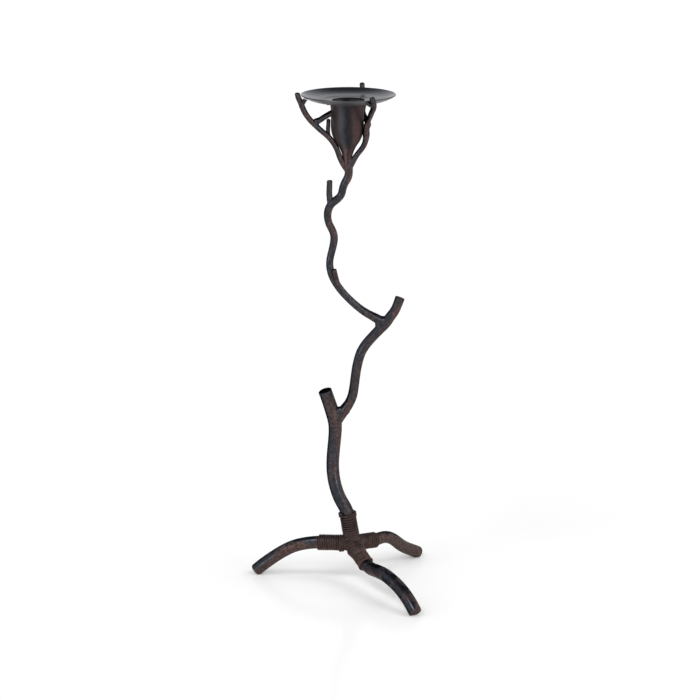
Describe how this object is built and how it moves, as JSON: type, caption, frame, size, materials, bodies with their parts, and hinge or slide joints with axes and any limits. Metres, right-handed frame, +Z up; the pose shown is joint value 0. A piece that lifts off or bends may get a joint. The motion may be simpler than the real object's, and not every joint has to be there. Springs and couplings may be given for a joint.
{
  "type": "candle holder",
  "caption": "Free-standing twig candle holder of blackened iron: wire-bound legs, branching stem, tulip cup with a taper socket and a loose drip pan that lifts off.",
  "frame": {"origin": "on the floor, below the middle of the whole object's footprint", "axes": "+Z up, -Y to the front (towards the viewer of the picture), +X to the right"},
  "size_m": [0.1548, 0.1705, 0.4416],
  "materials": {
    "iron_rod": "blackened iron, waxed, with rust-brown patches",
    "binding_wire": "annealed iron wire, matt brown-black",
    "cup_iron": "blackened iron, waxed",
    "pan_iron": "blackened sheet iron, waxed"
  },
  "bodies": {
    "stand": {"lower_branch": "iron_rod", "middle_branch": "iron_rod", "upper_branch": "iron_rod", "upper_spur": "iron_rod", "knot_spur": "iron_rod", "left_arm": "iron_rod", "right_arm": "iron_rod", "rear_arm": "iron_rod", "left_prop": "iron_rod", "left_spur": "iron_rod", "left_rest": "iron_rod", "right_rest": "iron_rod", "rear_rest": "iron_rod", "left_leg": "iron_rod", "right_leg": "iron_rod", "front_leg": "iron_rod", "stem_binding": "binding_wire", "left_binding": "binding_wire", "right_binding": "binding_wire", "front_binding": "binding_wire", "candle_cup": "cup_iron"},
    "pan": {"drip_pan": "pan_iron"}
  },
  "joints": [
    {"name": "pan_lift", "type": "slide", "parent": "stand", "child": "pan", "axis": [0, 0, 1], "range_m": [0, 0.045]}
  ]
}
